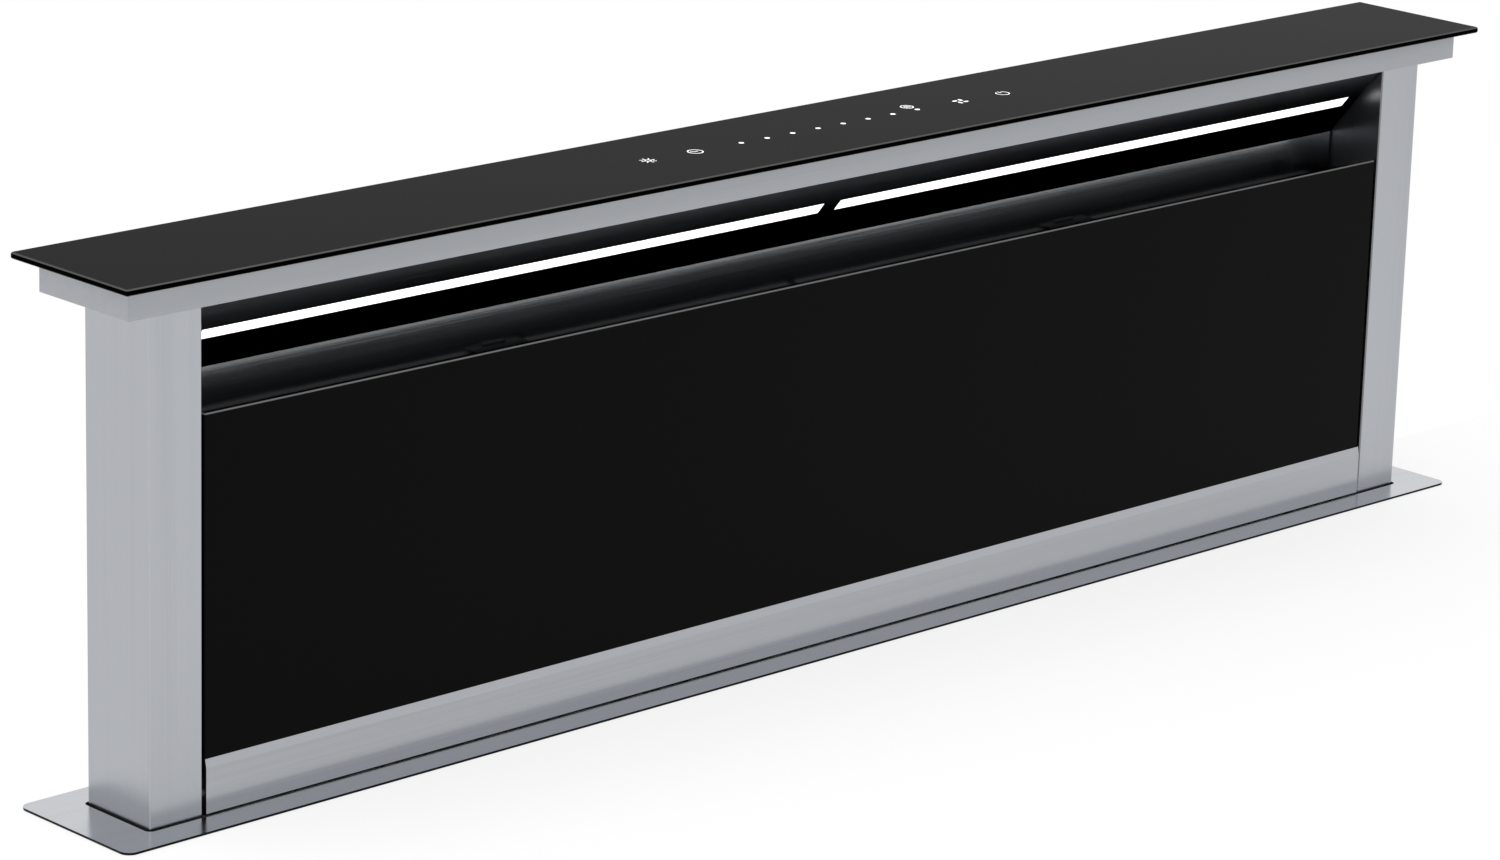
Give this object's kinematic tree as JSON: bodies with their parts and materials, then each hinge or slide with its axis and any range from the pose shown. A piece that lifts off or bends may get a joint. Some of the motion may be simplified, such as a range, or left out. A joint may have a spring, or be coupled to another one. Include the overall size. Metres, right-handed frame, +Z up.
{
  "type": "downdraft vent",
  "caption": "Worktop downdraft vent: a glass-topped steel riser with a front air inlet, light bar and filters, over a chassis with rack lift, blower and duct outlet.",
  "frame": {"origin": "centre of the riser's slot, on the worktop surface under the deck trim", "axes": "+X right along the vent, -Y to the cook at the front, +Z up"},
  "size_m": [1.2, 0.2983, 1.0695],
  "materials": {
    "black_glass": "polished, black enamelled on its back",
    "brushed_steel": "fine brushed stainless steel",
    "galvanised_steel": "zinc coated sheet",
    "black_steel": "satin black paint",
    "aluminium": "mill finish",
    "opal_plastic": "opal diffuser",
    "latch_plastic": "dark grey moulding",
    "black_plastic": "moulded",
    "white_nylon": "natural nylon",
    "circuit_board": "solder mask",
    "machined_steel": "machined, zinc plated",
    "motor_paint": "satin dark grey"
  },
  "bodies": {
    "chassis": {"blower_casing": "galvanised_steel", "blower_cover": "galvanised_steel", "blower_motor": "motor_paint", "cable_gland": "black_plastic", "chassis_back": "galvanised_steel", "chassis_bottom": "galvanised_steel", "chassis_front": "galvanised_steel", "chassis_sides": "galvanised_steel", "control_box": "galvanised_steel", "control_lid": "galvanised_steel", "damper_pin": "machined_steel", "deck_trim": "brushed_steel", "duct_adapter": "galvanised_steel", "duct_collar": "galvanised_steel", "guide_rails": "galvanised_steel", "levelling_feet": "machined_steel", "racks": "machined_steel", "screws": "machined_steel", "worktop_clamps": "galvanised_steel"},
    "riser": {"cap_glass": "black_glass", "cap_band": "brushed_steel", "column_left": "brushed_steel", "column_right": "brushed_steel", "lower_front": "galvanised_steel", "back_cover": "brushed_steel", "inlet_hood": "brushed_steel", "touch_board": "circuit_board", "light_driver": "black_plastic", "hinge_pins": "machined_steel", "magnet_catches": "black_plastic", "filter_channel": "black_steel", "filter_rails": "black_steel", "drip_tray": "black_steel", "guide_shoes": "white_nylon", "filter_keepers": "black_steel", "latch_plates": "latch_plastic", "filter_frame_left": "aluminium", "filter_frame_right": "aluminium", "filter_mesh_left": "aluminium", "filter_mesh_right": "aluminium", "light_lenses": "opal_plastic", "light_channels": "aluminium", "light_boards": "circuit_board", "base_beam": "galvanised_steel", "lift_gearbox": "motor_paint", "lift_motor": "motor_paint", "shaft_bearings": "machined_steel"},
    "front_panel": {"front_glass": "black_glass", "panel_rail": "brushed_steel", "panel_carrier": "black_steel", "hinge_blocks": "black_plastic"},
    "filter_latch_left": {"latch_slider_left": "latch_plastic"},
    "filter_latch_right": {"latch_slider_right": "latch_plastic"},
    "lift_shaft": {"cross_shaft": "machined_steel", "pinions": "machined_steel"},
    "blower_wheel": {"impeller": "black_plastic", "motor_shaft": "machined_steel"},
    "damper_front": {"damper_flap_front": "aluminium"},
    "damper_back": {"damper_flap_back": "aluminium"}
  },
  "joints": [
    {"name": "riser_lift", "type": "slide", "parent": "chassis", "child": "riser", "axis": [0, 0, 1], "range_m": [-0.3145, 0]},
    {"name": "lift_shaft_spin", "type": "hinge", "parent": "riser", "child": "lift_shaft", "pos_m": [0, 0.0185, -0.172], "axis": [1, 0, 0], "range_deg": [0, 1005]},
    {"name": "front_panel_hinge", "type": "hinge", "parent": "riser", "child": "front_panel", "pos_m": [0, -0.027, 0.015], "axis": [1, 0, 0], "range_deg": [0, 70]},
    {"name": "filter_latch_left_slide", "type": "slide", "parent": "riser", "child": "filter_latch_left", "axis": [0, 0, -1], "range_m": [0, 0.003], "stiffness_N_per_m": 800, "springref_m": -0.004},
    {"name": "filter_latch_right_slide", "type": "slide", "parent": "riser", "child": "filter_latch_right", "axis": [0, 0, -1], "range_m": [0, 0.003], "stiffness_N_per_m": 800, "springref_m": -0.004},
    {"name": "blower_wheel_spin", "type": "hinge", "parent": "chassis", "child": "blower_wheel", "pos_m": [0.19, -0.12, -0.43], "axis": [0, 1, 0], "continuous": true},
    {"name": "damper_front_hinge", "type": "hinge", "parent": "chassis", "child": "damper_front", "pos_m": [0.31362, -0.12075, -0.668], "axis": [1, 0, 0], "range_deg": [0, 75], "stiffness_Nm_per_rad": 0.05, "springref_deg": -34.38},
    {"name": "damper_back_hinge", "type": "hinge", "parent": "chassis", "child": "damper_back", "pos_m": [0.31362, -0.12075, -0.668], "axis": [-1, 0, 0], "range_deg": [0, 75], "stiffness_Nm_per_rad": 0.05, "springref_deg": -34.38}
  ],
  "couplings": [
    {"joint": "lift_shaft_spin", "follows": "riser_lift", "rad_per_m": -55.556}
  ]
}
